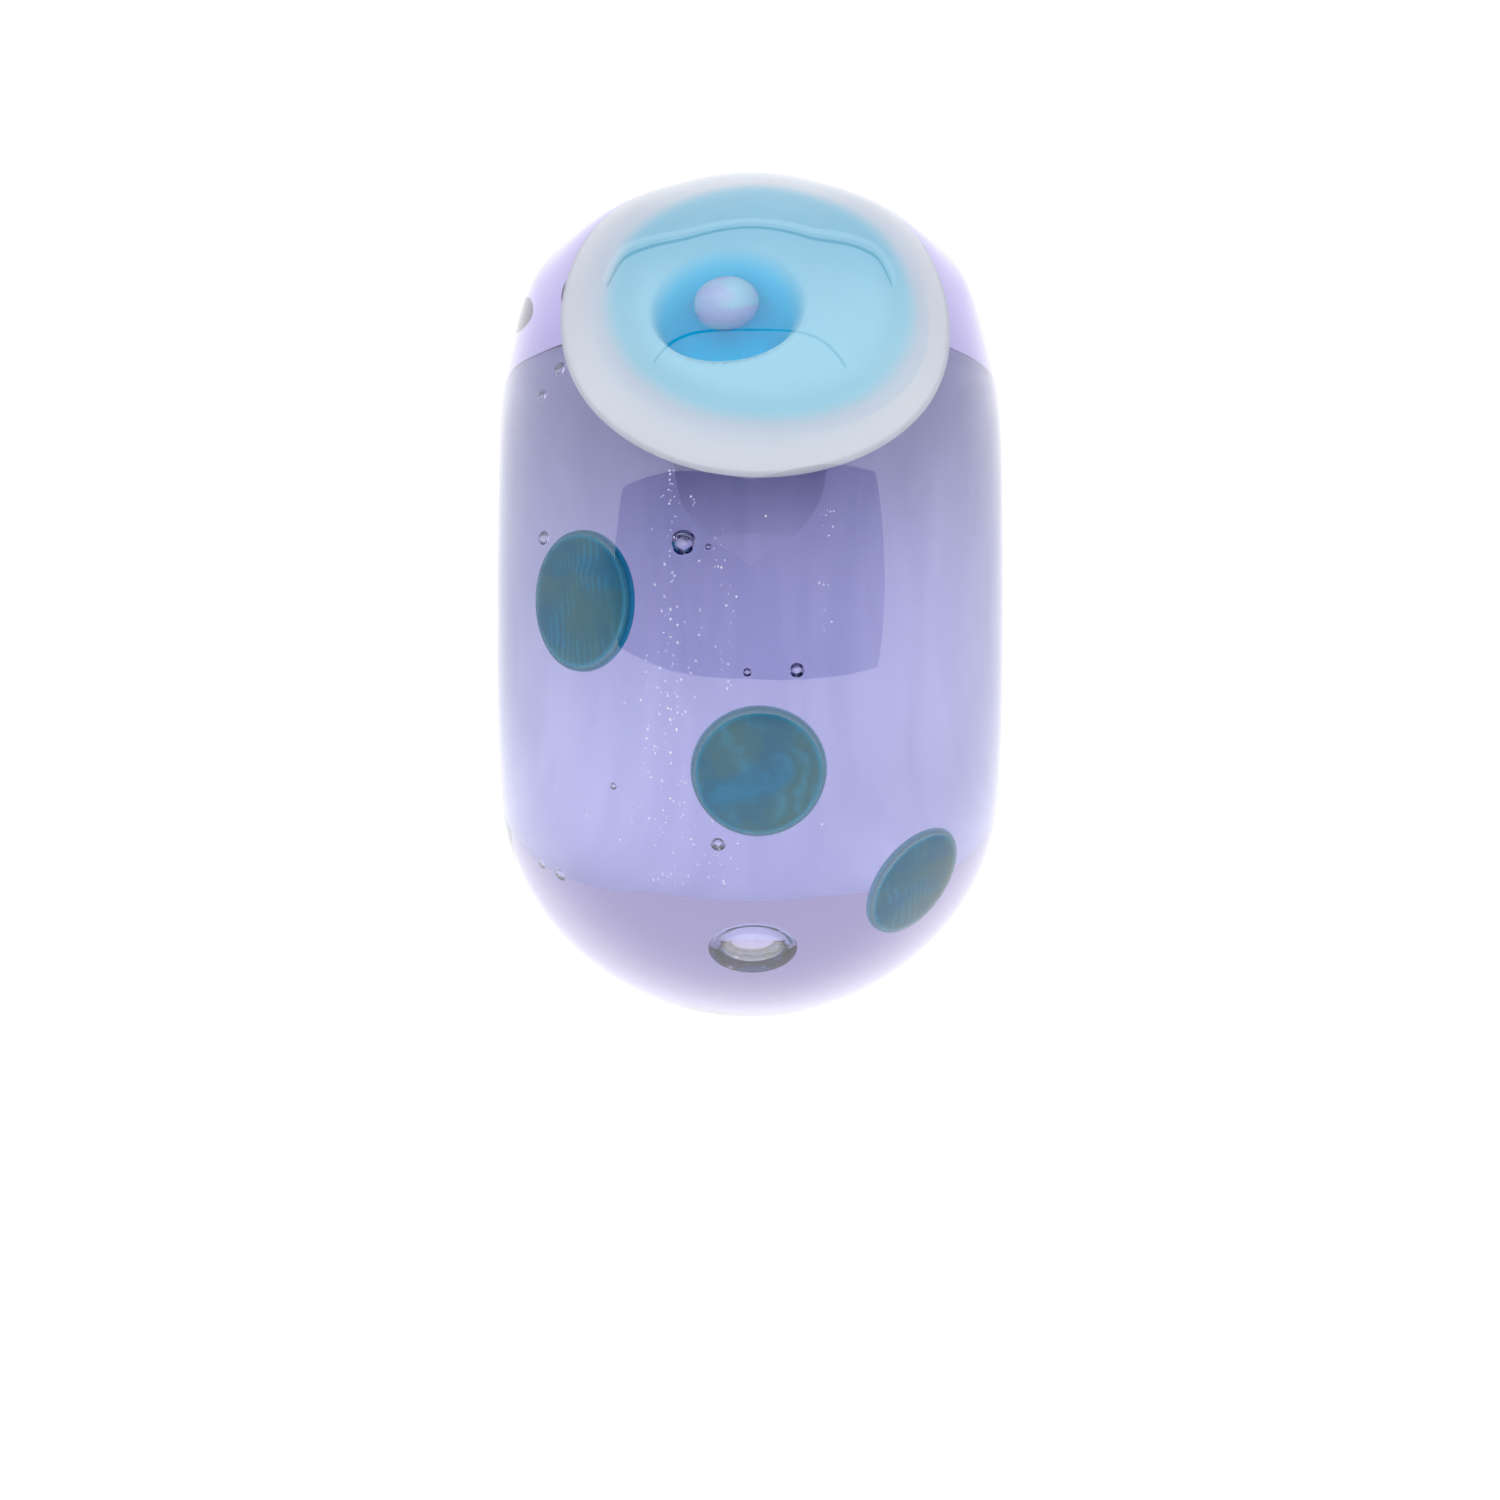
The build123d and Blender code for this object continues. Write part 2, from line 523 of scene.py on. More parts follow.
@dataclass(frozen=True)
class SeedGlass:
    """Seeds so fine that they scatter light and look milky."""

    milky: Triple = (0.86, 0.87, 0.95)
    thin: Triple = (0.66, 0.68, 0.86)
    patch_edges: Pair = (0.4, 0.6)

    def material(self) -> bpy.types.Material:
        """Makes the material.

        Returns:
            A milky white, some seeds paler than others.
        """
        nodes = Nodes("seed_glass")
        patches = nodes.noise((2.0, 2.0, 2.0), 2.0).step(*self.patch_edges)
        return nodes.finish(
            Base_Color=nodes.mix(patches, self.thin, self.milky),
            Roughness=0.5,
            Specular_IOR_Level=0.0,
        )


@dataclass(frozen=True)
class Silver:
    """Polished silver with fine turning lines round the bore."""

    metal: Triple = (0.93, 0.92, 0.90)
    dull: Triple = (0.62, 0.61, 0.60)
    lines_per_mm: Triple = (40.0, 0.6, 0.6)
    line_height: float = 0.002
    tarnish_edges: Pair = (0.55, 0.8)
    tarnish_share: float = 0.5
    smoothest: float = 0.12
    rougher: float = 0.12

    def material(self) -> bpy.types.Material:
        """Makes the material.

        Returns:
            A metal with fine lines and faint tarnish.
        """
        nodes = Nodes("silver")
        lines = nodes.noise(self.lines_per_mm, 2.0)
        tarnish = nodes.noise((1.5, 1.5, 1.5), 4.0).step(*self.tarnish_edges)
        return nodes.finish(
            Base_Color=nodes.mix(tarnish * self.tarnish_share, self.metal, self.dull),
            Metallic=1.0,
            Roughness=lines * self.rougher + self.smoothest,
            Normal=nodes.bump(lines, 0.3, self.line_height),
        )


@dataclass(frozen=True)
class PaleFloor:
    """A plain pale floor."""

    shade: Triple = (0.8, 0.8, 0.8)
    glow: float = 0.8
    mottled: float = 0.985

    def material(self) -> bpy.types.Material:
        """Makes the material.

        Returns:
            A matt white with the faintest mottling.
        """
        nodes = Nodes("pale_floor")
        mottle = nodes.noise((0.05, 0.05, 0.05), 2.0)
        darker = tuple(self.mottled * part for part in self.shade)
        return nodes.finish(
            Base_Color=nodes.mix(mottle, darker, self.shade),
            Roughness=0.9,
            Emission_Color=(1.0, 1.0, 1.0),
            Emission_Strength=self.glow,
        )


@dataclass(frozen=True)
class BrightFold:
    """A fold of the tent that a lamp shines through."""

    strength: float = 2.0

    def material(self) -> bpy.types.Material:
        """Makes the material.

        Returns:
            A white glow on black.
        """
        return Nodes("bright_fold").finish(
            Base_Color=(0.0, 0.0, 0.0),
            Emission_Color=(1.0, 1.0, 1.0),
            Emission_Strength=self.strength,
        )


@dataclass(frozen=True)
class DarkOpening:
    """The unlit room seen through the tent's opening."""

    def material(self) -> bpy.types.Material:
        """Makes the material.

        Returns:
            A matt black.
        """
        black = (0.0, 0.0, 0.0)
        return Nodes("dark_opening").finish(Base_Color=black, Roughness=1.0, Specular_IOR_Level=0.0)


def to_object(name: str, shape: bmesh.types.BMesh, finish: bpy.types.Material) -> bpy.types.Object:
    """Makes a finished, smooth-shaded piece at the origin.

    Args:
        name: The piece's name.
        shape: Its mesh, in metres; it is freed.
        finish: Its material.

    Returns:
        The piece.
    """
    mesh = bpy.data.meshes.new(name)
    shape.to_mesh(mesh)
    shape.free()
    mesh.shade_smooth()
    mesh.materials.append(finish)
    piece = bpy.data.objects.new(name, mesh)
    bpy.context.collection.objects.link(piece)
    return piece


def hide_from(piece: bpy.types.Object, *rays: str) -> None:
    """Hides a piece from some kinds of ray."""
    for ray in rays:
        setattr(piece, f"visible_{ray}", False)


def closed_by(
    shape: bmesh.types.BMesh, start: bmesh.types.BMVert, end: bmesh.types.BMVert, points: list
) -> None:
    """Joins two points of an open outline through some more.

    Args:
        shape: The outline's mesh.
        start: Where the new run starts.
        end: Where it ends.
        points: Places along the bore and radii in between.
    """
    last = start
    for along, radius in points:
        point = shape.verts.new((along, 0.0, radius))
        shape.edges.new((last, point))
        last = point
    shape.edges.new((last, end))


def turn(shape: bmesh.types.BMesh, steps: int) -> None:
    """Turns a closed outline once about the bore.

    Args:
        shape: The outline's mesh, which becomes the turned form.
        steps: How many facets go round.
    """
    outline = list(shape.verts) + list(shape.edges)
    bmesh.ops.spin(
        shape,
        geom=outline,
        cent=(0.0, 0.0, 0.0),
        axis=(1.0, 0.0, 0.0),
        angle=math.tau,
        steps=steps,
        use_merge=True,
    )
    bmesh.ops.recalc_face_normals(shape, faces=shape.faces)


@dataclass
class Tread:
    """The bead's outer form: a half ellipse turned about the bore, a little uneven by hand."""

    crown_radius: float
    half_width: float
    shoulder: float = 4.0 * MM
    uneven: float = 0.03 * MM
    lumps_per_mm: float = 0.28

    @property
    def end_radius(self) -> float:
        """Radius where the tread meets the end faces."""
        return self.crown_radius - self.shoulder

    def radius(self, along: float) -> float:
        """Radius of the tread at a place along the bore."""
        share = min(abs(along / self.half_width), 1.0)
        return self.end_radius + self.shoulder * math.sqrt(1.0 - share * share)

    def slope(self, point: Vector) -> Vector:
        """The steepest way out at a point.

        Args:
            point: Any point off the bore's axis.

        Returns:
            The gradient of the ellipse's equation.
        """
        radius = math.hypot(point.y, point.z)
        along = 2.0 * point.x / self.half_width**2
        rise = 2.0 * (radius - self.end_radius) / self.shoulder**2
        return Vector((along, rise * point.y / radius, rise * point.z / radius))

    def foot(self, along: float, angle: float) -> Vector:
        """The place on the tread at an angle about the bore."""
        return direction(angle) * self.radius(along) + Vector((along, 0.0, 0.0))

    def along_under(self, point: Vector) -> float:
        """Finds where the tread faces straight out from a point under it.

        Args:
            point: A point inside the bead.

        Returns:
            The place along the bore.
        """
        angle = math.degrees(math.atan2(point.z, -point.y))
        low, high = -self.half_width, self.half_width
        for _ in range(HALVINGS):
            middle = (low + high) / 2
            foot = self.foot(middle, angle)
            if (foot - point).cross(self.slope(foot)).dot(direction(angle + 90.0)) > 0.0:
                low = middle
            else:
                high = middle
        return middle

    def meet(self, point: Vector, way: Vector) -> Vector:
        """Slides a point onto the tread.

        Args:
            point: A point just outside the tread.
            way: The line it slides along.

        Returns:
            The place on the tread.
        """
        place = point.copy()
        for _ in range(SLIDES):
            height = (math.hypot(place.y, place.z) - self.end_radius) / self.shoulder
            over = height**2 + (place.x / self.half_width) ** 2 - 1.0
            place = place - way * (over / self.slope(place).dot(way))
        return place

    def dip(self, point: Vector) -> float:
        """How far the hand-shaped surface lies inside the true ellipse."""
        return self.uneven * (0.5 + 0.5 * noise.noise(point * (self.lumps_per_mm / MM)))


@dataclass
class Blob:
    """A gather of glass melted into the tread: a flat-faced lens with a rounder underside."""

    tread: Tread
    along: float
    angle: float
    half_wide: float
    half_long: float
    top: float
    floor: float
    shift: Pair = (0.0, 0.0)
    face_square: float = 16.0
    under_square: float = 4.0
    segments: int = 96
    rings: int = 64

    def depth(self, across: float, around: float, up: float) -> float:
        """Depth under the tread, in metres.

        Args:
            across: Metres from the foot, towards +X.
            around: Metres from the foot, up round the tread.
            up: From -1 on the underside to 1 on the face.

        Returns:
            The depth.
        """
        return (self.top + self.floor) / 2 - up * (self.floor - self.top) / 2

    def marks(self, across: float, around: float, depth: float, spread: float) -> dict[str, float]:
        """What a finish can read at a point."""
        return {DEPTH: depth / MM, SPREAD: spread}

    def build(self) -> bmesh.types.BMesh:
        """Shapes a sphere into the blob and stores its marks.

        Returns:
            The closed mesh.
        """
        shape = bmesh.new()
        bmesh.ops.create_uvsphere(
            shape, u_segments=self.segments, v_segments=self.rings, radius=1.0
        )
        for name in self.marks(0.0, 0.0, 0.0, 0.0):
            shape.verts.layers.float.new(name)
        foot = self.tread.foot(self.along, self.angle)
        axis = self.tread.slope(foot).normalized()
        around_way = direction(self.angle + 90.0)
        across_way = around_way.cross(axis)
        for point in shape.verts:
            spread = min(math.hypot(point.co.x, point.co.y), 1.0)
            square = self.face_square if point.co.z > 0.0 else self.under_square
            up = math.copysign((1.0 - spread**square) ** (1.0 / square), point.co.z)
            across = self.shift[0] + point.co.x * self.half_wide
            around = self.shift[1] + point.co.y * self.half_long
            depth = self.depth(across, around, up)
            surface = self.tread.meet(foot + across_way * across + around_way * around, axis)
            point.co = surface - axis * (depth + self.tread.dip(surface))
            for name, mark in self.marks(across, around, depth, spread).items():
                point[shape.verts.layers.float[name]] = mark
        bmesh.ops.recalc_face_normals(shape, faces=shape.faces)
        return shape


@dataclass
class EyeBowl:
    """The form of an eye: how far it stands out, and how deep its aqua pool and funnel go."""

    half_wide: float
    half_long: float
    proud: float = 0.24 * MM
    fade_low: Pair = (0.2, 1.0)
    fade_high: Pair = (0.95, 1.25)
    skin: float = 0.03 * MM
    pool: float = 0.45 * MM
    pool_wide: float = 2.75 * MM
    pool_long: float = 3.1 * MM
    pool_across: float = 0.17 * MM
    pool_around: float = -0.2 * MM
    pool_slope: float = 0.35
    funnel: float = 0.95 * MM
    funnel_across: float = -0.34 * MM
    funnel_around: float = -0.56 * MM
    funnel_mouth: float = 1.28 * MM
    funnel_throat: float = 0.45 * MM
    funnel_skew: float = 0.6 * MM

    def stand(self, across: float, around: float) -> float:
        """How far the glass stands out of the tread, fading sooner low down than high up.

        Args:
            across: Metres from the eye's middle, towards +X.
            around: Metres from the eye's middle, up round the tread.

        Returns:
            The height, in metres.
        """
        spread = math.hypot(across / self.half_wide, around / self.half_long)
        high = smooth_step(-1.0, 1.0, around / self.half_long)
        low, far = (
            below + (above - below) * high for below, above in zip(self.fade_low, self.fade_high)
        )
        return self.proud * (1.0 - smooth_step(low, far, spread))

    def down(self, across: float, around: float) -> float:
        """How far down the skewed funnel: 0 at its mouth and 1 where its throat starts.

        Args:
            across: Metres from the eye's middle, towards +X.
            around: Metres from the eye's middle, up round the tread.

        Returns:
            The share of the way at which the narrowing, sinking ring meets the point.
        """
        wide, high = across - self.funnel_across, around - self.funnel_around
        narrowing = self.funnel_mouth - self.funnel_throat
        square = self.funnel_skew**2 - narrowing**2
        linear = 2.0 * (high * self.funnel_skew + self.funnel_mouth * narrowing)
        rest = wide**2 + high**2 - self.funnel_mouth**2
        root = math.sqrt(max(linear**2 - 4.0 * square * rest, 0.0))
        return -2.0 * rest / max(linear + root, TINY)

    def surface(self, across: float, around: float) -> float:
        """Depth of the coloured face.

        Args:
            across: Metres from the eye's middle, towards +X.
            around: Metres from the eye's middle, up round the tread.

        Returns:
            Metres under the tread, negative where the eye stands out.
        """
        wide = (across - self.pool_across) / self.pool_wide
        spread = math.hypot(wide, (around - self.pool_around) / self.pool_long)
        pool = self.pool * (1.0 - smooth_step(1.0 - self.pool_slope, 1.0, spread))
        funnel = self.funnel * smooth_step(0.0, 1.0, self.down(across, around))
        return self.skin + pool + funnel - self.stand(across, around)


@dataclass
class EyeLayer(Blob):
    """One coloured layer of an eye, whose face follows the eye's bowl."""

    bowl: EyeBowl | None = None
    under: float = 0.0
    thickness: float = 0.1 * MM

    def depth(self, across: float, around: float, up: float) -> float:
        """Depth of the layer, whose underside lies under its face everywhere.

        Args:
            across: Metres from the foot, towards +X.
            around: Metres from the foot, up round the tread.
            up: From -1 on the underside to 1 on the face.

        Returns:
            The depth, in metres.
        """
        face = self.bowl.surface(across, around) + self.under
        underside = max(self.floor, face + self.thickness)
        return face + (underside - face) * (1.0 - up) / 2

    def marks(self, across: float, around: float, depth: float, spread: float) -> dict[str, float]:
        """Adds to the blob's marks how high up the pool and how far down the funnel a point is.

        Args:
            across: Metres from the foot, towards +X.
            around: Metres from the foot, up round the tread.
            depth: Metres under the tread.
            spread: From 0 in the middle to 1 at the edge.

        Returns:
            The marks by name.
        """
        lean = (around - self.bowl.pool_around) / self.bowl.pool_long
        own = {LEAN: lean, DOWN: self.bowl.down(across, around)}
        return super().marks(across, around, depth, spread) | own


@dataclass
class Eye:
    """A bubble eye: a white disc, an aqua pool in it and a deep funnel in the pool."""

    tread: Tread
    pattern: Pattern
    half_long: float = 3.8 * MM
    drawn_in: float = 0.09 * MM
    white_floor: float = 0.35 * MM
    funnel_over: float = 0.006 * MM
    bubble_diameter: float = 1.0 * MM
    bubble_depth: float = 0.5 * MM
    bubble_across: float = -0.36 * MM
    bubble_around: float = -0.55 * MM
    bubble_fine: int = 5

    def __post_init__(self) -> None:
        """Reads the eye's place from its white disc; the back eye is melted in more evenly."""
        low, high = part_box(f"{self.pattern.value}_eye_white")
        middle = (low + high) / 2
        self.angle = math.degrees(math.atan2(middle.z, -middle.y))
        self.bowl = EyeBowl((high.x - low.x) / 2, self.half_long)
        if self.pattern is Pattern.BACK:
            self.bowl.fade_high = self.bowl.fade_low

    def _layer(self, **sizes: object) -> EyeLayer:
        """A layer of the eye."""
        return EyeLayer(self.tread, 0.0, self.angle, bowl=self.bowl, **sizes)

    def white_disc(self) -> bmesh.types.BMesh:
        """Shapes the white disc, hollowed under the aqua.

        Returns:
            The closed mesh.
        """
        return self._layer(
            half_wide=self.bowl.half_wide - self.drawn_in,
            half_long=self.bowl.half_long,
            shift=(self.drawn_in, 0.0),
            top=0.0,
            floor=self.white_floor,
            under_square=2.0,
            segments=128,
            rings=96,
        ).build()

    def aqua_pool(self) -> bmesh.types.BMesh:
        """Shapes the aqua pool, thin over the white.

        Returns:
            The closed mesh.
        """
        return self._layer(
            half_wide=self.bowl.pool_wide,
            half_long=self.bowl.pool_long,
            shift=(self.bowl.pool_across, self.bowl.pool_around),
            top=0.0,
            floor=0.0,
            under=-self.funnel_over,
            segments=128,
            rings=128,
        ).build()

    def funnel(self) -> bmesh.types.BMesh:
        """Shapes the deep funnel in the pool.

        Returns:
            The closed mesh.
        """
        return self._layer(
            half_wide=self.bowl.funnel_mouth,
            half_long=self.bowl.funnel_mouth,
            top=0.0,
            floor=0.0,
            under=-2 * self.funnel_over,
            shift=(self.bowl.funnel_across, self.bowl.funnel_around),
            segments=96,
            rings=96,
        ).build()

    def bubble(self) -> bmesh.types.BMesh:
        """Shapes the air bubble over the funnel, an opaque ball coloured with painted reflection.

        Returns:
            The closed mesh.
        """
        shape = bmesh.new()
        axis = direction(self.angle)
        foot = self.tread.foot(0.0, self.angle) + Vector((self.bubble_across, 0.0, 0.0))
        place = foot + direction(self.angle + 90.0) * self.bubble_around - axis * self.bubble_depth
        size = self.bubble_diameter
        oval(shape, place, axis, Vector((size, size, size)), self.bubble_fine)
        return shape

    def raise_glass(self, shape: bmesh.types.BMesh) -> None:
        """Lifts a casing's glass over the eye.

        Args:
            shape: The casing's mesh.
        """
        axis = direction(self.angle)
        around_way = direction(self.angle + 90.0)
        for point in shape.verts:
            if point.co.dot(axis) > 0.0:
                point.co += axis * self.bowl.stand(point.co.x, point.co.dot(around_way))


@dataclass
class Dots:
    """A slanting row of three teal dots, flush with the glass."""

    tread: Tread
    pattern: Pattern
    half_wide: tuple[float, ...] = (1.03 * MM, 1.10 * MM, 0.93 * MM)
    half_long: float = 1.15 * MM
    depth: float = 0.35 * MM
    over: float = 0.02 * MM
    face_square: float = 8.0
    under_square: float = 3.0

    def place(self, dot: DotPlace) -> Pair:
        """Reads a dot's place on the tread from its CAD solid.

        Args:
            dot: Which dot of the row.

        Returns:
            Its place along the bore and its angle.
        """
        low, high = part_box(f"{self.pattern.value}_dot_{dot.value}")
        middle = (low + high) / 2
        return self.tread.along_under(middle), math.degrees(math.atan2(middle.z, -middle.y))

    def dot(self, dot: DotPlace) -> bmesh.types.BMesh:
        """One dot, a little longer round the bore than along it.

        Args:
            dot: Which dot of the row.

        Returns:
            The closed mesh.
        """
        return Blob(
            self.tread,
            *self.place(dot),
            self.half_wide[list(DotPlace).index(dot)],
            self.half_long,
            -self.over,
            self.depth,
            face_square=self.face_square,
            under_square=self.under_square,
        ).build()


@dataclass(frozen=True)
class Bubble:
    """An air bubble in the clear glass, in millimetres and degrees."""

    along: float
    angle: float
    depth: float
    diameter: float
    flat: float = 1.0


@dataclass(frozen=True)
class Trail:
    """A trail of tiny seed bubbles drawn out round the bore."""

    along: float
    spread: float
    start: float
    end: float
    count: int


def oval(shape: bmesh.types.BMesh, place: Vector, out: Vector, size: Vector, fine: int) -> list:
    """Adds an oval to a mesh.

    Args:
        shape: The mesh.
        place: Its middle.
        out: The way out of the glass there.
        size: Its diameters along the bore, round it and outwards.
        fine: How finely it is divided.

    Returns:
        Its faces, facing outwards.
    """
    around = out.cross(Vector((1.0, 0.0, 0.0))).normalized()
    across = around.cross(out)
    turned = Matrix((across, around, out)).transposed().to_4x4()
    matrix = Matrix.Translation(place) @ turned @ Matrix.Diagonal((*size, 1.0))
    made = bmesh.ops.create_icosphere(shape, subdivisions=fine, radius=0.5, matrix=matrix)
    faces = list({face for point in made["verts"] for face in point.link_faces})
    bmesh.ops.recalc_face_normals(shape, faces=faces)
    return faces


@dataclass
class Seeds:
    """Trails of tiny milky seeds under the tread, with their sizes in millimetres."""

    tread: Tread
    turns: list[float]
    diameter: Pair = (0.018, 0.045)
    stretch: Pair = (0.8, 1.4)
    depth: Pair = (0.05, 0.35)
    trails: tuple[Trail, ...] = (
        Trail(-1.35, 0.10, 18.0, -20.0, 60),
        Trail(-1.45, 0.28, -8.0, -46.0, 90),
        Trail(-0.95, 0.15, 14.0, -12.0, 16),
        Trail(-0.45, 0.10, 10.0, -14.0, 26),
        Trail(-0.6, 0.30, -30.0, -46.0, 20),
        Trail(1.3, 0.05, 12.0, -6.0, 14),
        Trail(0.0, 1.8, 18.0, -50.0, 24),
    )
    fine: int = 1
    rng_seed: int = 7

    def build(self) -> bmesh.types.BMesh:
        """Scatters the seeds of every trail.

        Returns:
            A mesh of tiny closed ovals.
        """
        shape = bmesh.new()
        chance = random.Random(self.rng_seed)
        for turned in self.turns:
            for trail in self.trails:
                for _ in range(trail.count):
                    along = chance.gauss(trail.along, trail.spread) * MM
                    angle = chance.uniform(trail.start, trail.end) + turned
                    foot = self.tread.foot(along, angle)
                    out = self.tread.slope(foot).normalized()
                    wide = chance.uniform(*self.diameter) * MM
                    long = wide * chance.uniform(*self.stretch)
                    depth = chance.uniform(*self.depth) * MM
                    oval(shape, foot - out * depth, out, Vector((wide, long, wide)), self.fine)
        return shape


@dataclass
class Casing:
    """The clear lilac body with its air bubbles."""

    tread: Tread
    core_crown: float
    turns: list[float]
    turn_steps: int = 320
    section_steps: int = 96
    lip_mm: tuple[Pair, ...] = ((4.185, 2.9), (4.14, 2.82), (4.06, 2.72))
    core_cover: float = 0.1 * MM
    swell: float = 0.24 * MM
    swell_rise: Pair = (1.0, 2.9)
    swell_fall: Pair = (3.3, 4.15)
    swell_from: Pair = (35.0, 75.0)
    swell_until: Pair = (100.0, 130.0)
    bubble_fine: int = 4
    big_bubble: Bubble = Bubble(0.05, -60.5, 0.7, 1.35, 0.5)
    bubbles: tuple[Bubble, ...] = (
        Bubble(-1.18, 7.6, 0.5, 0.42),
        Bubble(-3.25, 43.8, 0.4, 0.24),
        Bubble(-3.55, 41.0, 0.4, 0.2),
        Bubble(-3.55, 10.9, 0.4, 0.24),
        Bubble(0.88, -11.0, 0.8, 0.24),
        Bubble(-0.57, -38.0, 0.6, 0.24),
        Bubble(-0.05, -11.2, 0.8, 0.14),
        Bubble(-0.75, 7.0, 0.6, 0.1),
        Bubble(-2.4, -31.0, 0.5, 0.12),
    )

    def outline(self, shape: bmesh.types.BMesh) -> None:
        """Draws the half-section: the tread's ellipse, closed inside the core.

        Args:
            shape: An empty mesh.
        """
        bmesh.ops.create_circle(
            shape,
            segments=2 * self.section_steps,
            radius=1.0,
            matrix=Matrix.Rotation(math.pi / 2, 4, "X"),
        )
        lower = [point for point in shape.verts if point.co.z < -ROUNDING]
        bmesh.ops.delete(shape, geom=lower, context="VERTS")
        for point in shape.verts:
            point.co.x *= self.tread.half_width
            point.co.z = self.tread.end_radius + point.co.z * self.tread.shoulder
        ends = sorted(shape.verts, key=lambda point: point.co.x)
        right = [(along * MM, radius * MM) for along, radius in self.lip_mm]
        left = [(-along, radius) for along, radius in reversed(right)]
        inside = (0.0, self.core_crown - self.core_cover)
        closed_by(shape, ends[-1], ends[0], [*right, inside, *left])

    def _add_hollows(self, shape: bmesh.types.BMesh) -> None:
        """Makes every hollow in a mesh of its own and adds that to the body.

        Args:
            shape: The body's mesh.
        """
        hollows = bmesh.new()
        everywhere = [(bubble, turned) for turned in self.turns for bubble in self.bubbles]
        for bubble, turned in [(self.big_bubble, 0.0), *everywhere]:
            place, out = self.under(bubble.along, bubble.angle + turned, bubble.depth)
            size = Vector((bubble.diameter, bubble.diameter, bubble.diameter * bubble.flat)) * MM
            oval(hollows, place, out, size, self.bubble_fine)
        bmesh.ops.reverse_faces(hollows, faces=hollows.faces)
        mesh = bpy.data.meshes.new("hollows")
        hollows.to_mesh(mesh)
        hollows.free()
        shape.from_mesh(mesh)
        bpy.data.meshes.remove(mesh)

    def swelling(self, place: Vector) -> float:
        """How far the shoulders swell where the front eye's gather pushed the glass aside.

        Args:
            place: A point on the tread.

        Returns:
            The height, in metres.
        """
        along = abs(place.x) / MM
        angle = math.degrees(math.atan2(place.z, -place.y))
        across = smooth_step(*self.swell_rise, along) * (1.0 - smooth_step(*self.swell_fall, along))
        ending = smooth_step(*self.swell_until, angle)
        around = smooth_step(*self.swell_from, angle) * (1.0 - ending)
        return self.swell * across * around

    def under(self, along: float, angle: float, depth: float) -> tuple[Vector, Vector]:
        """Finds a place under the tread.

        Args:
            along: Millimetres along the bore.
            angle: Degrees about the bore.
            depth: Millimetres under the tread.

        Returns:
            The place and the way out of the glass there, in metres.
        """
        foot = self.tread.foot(along * MM, angle)
        out = self.tread.slope(foot).normalized()
        return foot - out * (depth * MM), out

    def build(self, eyes: list[Eye]) -> bmesh.types.BMesh:
        """Turns the body, lifts it over the eyes and leaves the bubbles in it.

        Args:
            eyes: The eyes that the glass covers.

        Returns:
            The closed mesh with its hollows.
        """
        shape = bmesh.new()
        self.outline(shape)
        turn(shape, self.turn_steps)
        for point in shape.verts:
            outward = self.tread.slope(point.co).normalized()
            point.co += outward * (self.swelling(point.co) - self.tread.dip(point.co))
        for eye in eyes:
            eye.raise_glass(shape)
        bmesh.ops.recalc_face_normals(shape, faces=shape.faces)
        self._add_hollows(shape)
        return shape


@dataclass
class Bore:
    """The silver sleeve with milky glass wound on it."""

    inner: float
    outer: float
    crown: float
    half_width: float
    core_end: float = 2.8 * MM
    mouth_round: float = 0.08 * MM
    recess: float = 0.03 * MM
    overlap: float = 0.03 * MM
    winding_pitch: float = 1.1 * MM
    winding_height: float = 0.02 * MM
    section_cuts: int = 71
    sways_per_mm: float = 0.4
    sway_mm: float = 0.02
    turn_steps: int = 192

    def _box(self, shape: bmesh.types.BMesh, half_width: float, low: float, high: float) -> list:
        """Draws a closed four-cornered outline.

        Args:
            shape: An empty mesh.
            half_width: Half its length along the bore.
            low: Its inner radius.
            high: Its outer radius.

        Returns:
            Its corners, the last two at the outer radius.
        """
        places = ((-half_width, low), (half_width, low), (half_width, high), (-half_width, high))
        corners = [shape.verts.new((along, 0.0, radius)) for along, radius in places]
        for number, corner in enumerate(corners):
            shape.edges.new((corner, corners[(number + 1) % 4]))
        return corners

    def sleeve(self) -> bmesh.types.BMesh:
        """Turns the sleeve, its mouths rounded.

        Returns:
            The closed mesh.
        """
        shape = bmesh.new()
        corners = self._box(shape, self.half_width, self.inner, self.outer)
        bmesh.ops.bevel(
            shape,
            geom=corners,
            offset=self.mouth_round,
            affect="VERTICES",
            segments=6,
            profile=0.5,
            material=-1,
        )
        turn(shape, self.turn_steps)
        return shape

    def core(self) -> bmesh.types.BMesh:
        """Turns the wound glass, barrel shaped with soft ridges.

        Returns:
            The closed mesh.
        """
        shape = bmesh.new()
        ends, inner = self.half_width - self.recess, self.outer - self.overlap
        *_, right, left = self._box(shape, ends, inner, self.core_end)
        upper = [edge for edge in shape.edges if right in edge.verts and left in edge.verts]
        bmesh.ops.subdivide_edges(shape, edges=upper, cuts=self.section_cuts)
        for point in shape.verts:
            if point.co.z > self.outer:
                share = point.co.x / self.half_width
                wave = math.cos(math.tau * point.co.x / self.winding_pitch)
                ridge = self.winding_height * (wave - 1.0) / 2
                point.co.z += (self.crown - self.core_end) * (1.0 - share * share) + ridge
        turn(shape, self.turn_steps)
        for point in shape.verts:
            radius = math.hypot(point.co.y, point.co.z)
            if radius > self.outer:
                sway = noise.noise(point.co * (self.sways_per_mm / MM)) * self.sway_mm * MM
                point.co.y *= 1.0 + sway / radius
                point.co.z *= 1.0 + sway / radius
        return shape


